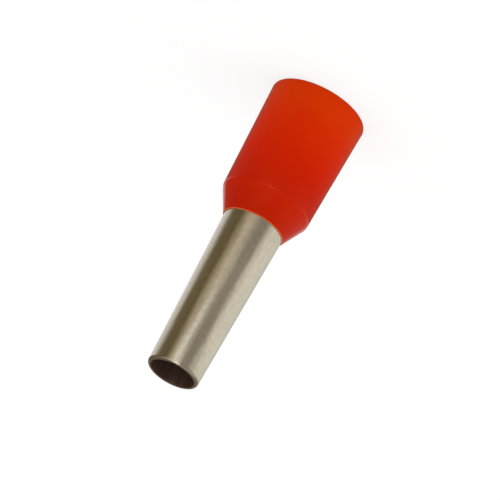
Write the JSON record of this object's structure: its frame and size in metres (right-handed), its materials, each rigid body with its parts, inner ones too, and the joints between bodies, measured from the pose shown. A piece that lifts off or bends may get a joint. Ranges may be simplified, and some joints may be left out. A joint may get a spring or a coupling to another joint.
{
  "type": "insulated wire end ferrule",
  "caption": "Insulated wire ferrule: tapered tinned copper sleeve with a rounded tip and a flared bell, held in a translucent red plastic collar with a cone nose.",
  "frame": {"origin": "centre of the collar's mouth, on the surface that the mouth stands on", "axes": "+Z along the ferrule's axis from the mouth to the tip of the sleeve; X and Y are any two directions across it, since both pieces are round"},
  "size_m": [0.005, 0.005, 0.0165],
  "materials": {
    "tinned_copper": "smooth bright tin plate with faint drawing lines along the sleeve",
    "red_plastic": "smooth moulded polypropylene, slightly translucent, semi-gloss"
  },
  "bodies": {
    "root": {"sleeve": "tinned_copper", "collar": "red_plastic"}
  },
  "joints": []
}
